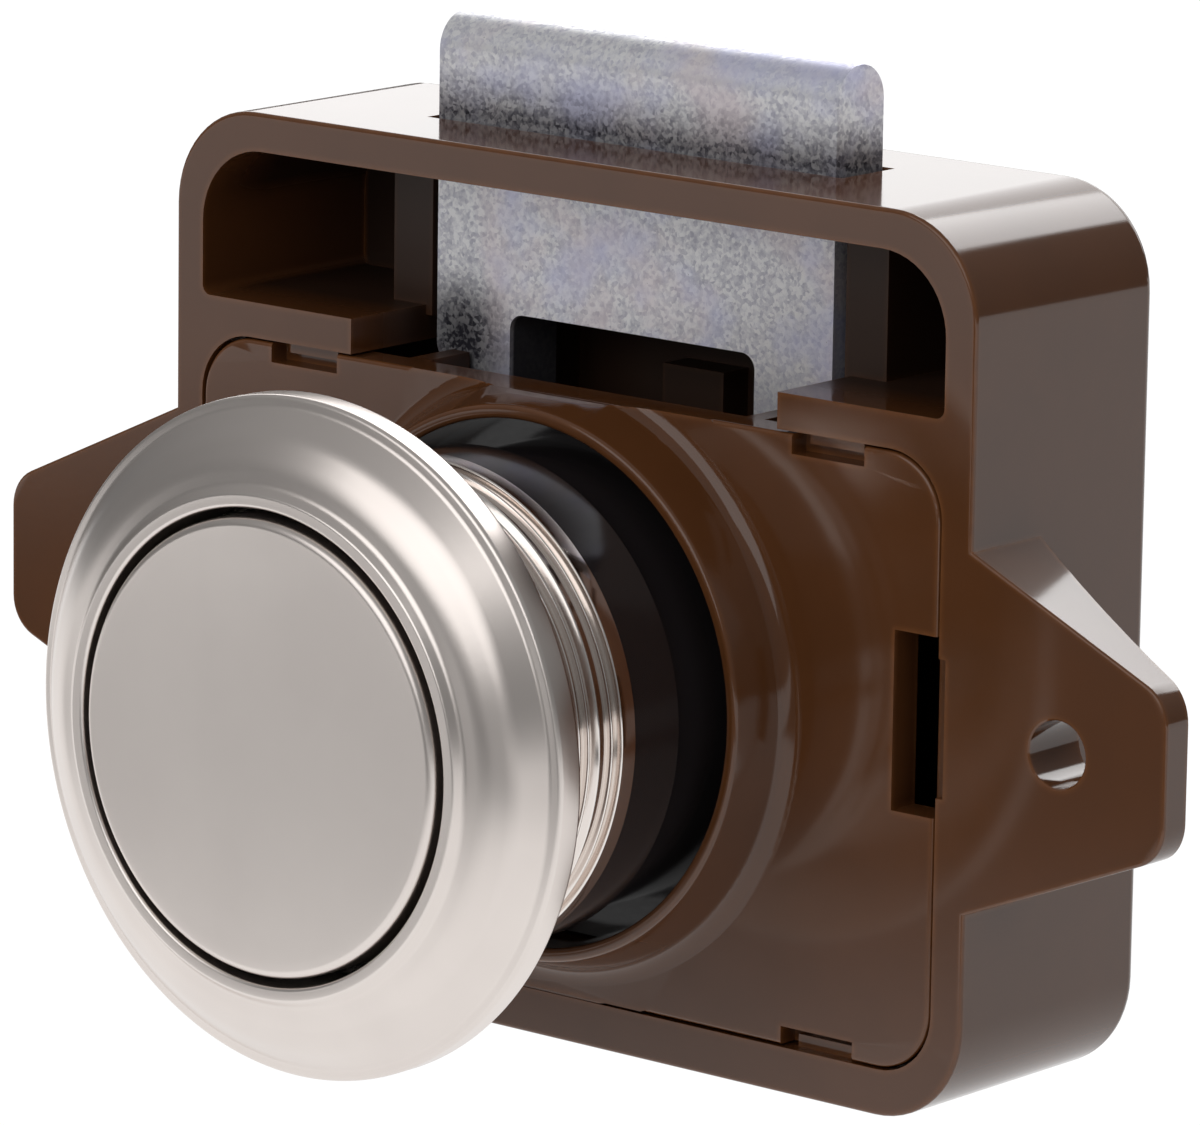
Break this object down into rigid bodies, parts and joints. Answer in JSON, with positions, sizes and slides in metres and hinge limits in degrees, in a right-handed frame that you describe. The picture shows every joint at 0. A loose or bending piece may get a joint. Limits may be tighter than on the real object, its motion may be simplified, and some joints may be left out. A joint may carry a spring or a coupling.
{
  "type": "push-button furniture lock",
  "caption": "Push-button lock for cupboard doors: a round satin button in a flanged rosette drives a flat bolt up out of a boxed plastic case with two screw ears.",
  "frame": {"origin": "where the button's axis meets the plane of the case's front rim, which is the door's back face", "axes": "-Y out of the door towards the hand, +Z the way the bolt shoots, +X to the right seen from the front"},
  "size_m": [0.0724, 0.0351, 0.0481],
  "materials": {
    "brown_plastic": "glossy moulded",
    "black_plastic": "moulded, half gloss",
    "satin_nickel": "satin nickel plate",
    "galvanised_steel": "zinc plate, speckled",
    "spring_steel": "bright drawn"
  },
  "bodies": {
    "housing": {"case": "brown_plastic", "cover_plate": "brown_plastic", "guide_sleeve": "black_plastic", "rosette": "satin_nickel", "main_spring": "spring_steel"},
    "push_button": {"plunger": "black_plastic", "button_cap": "satin_nickel"},
    "bolt": {"bolt": "galvanised_steel", "drive_pins": "spring_steel"},
    "latch_pin": {"latch_pin": "spring_steel"}
  },
  "joints": [
    {"name": "button_slide", "type": "slide", "parent": "housing", "child": "push_button", "axis": [0, -1, 0], "range_m": [0, 0.0072], "deforming": ["main_spring"]},
    {"name": "bolt_slide", "type": "slide", "parent": "housing", "child": "bolt", "axis": [0, 0, -1], "range_m": [0, 0.0053]},
    {"name": "latch_pin_swing", "type": "hinge", "parent": "housing", "child": "latch_pin", "pos_m": [0, 0.0109, 0.00935], "axis": [0, 0, 1], "range_deg": [0, 10.3]}
  ],
  "couplings": [
    {"joint": "bolt_slide", "follows": "button_slide", "ratio": 0.73611},
    {"joint": "latch_pin_swing", "follows": "button_slide", "rad_per_m": 24.726}
  ]
}
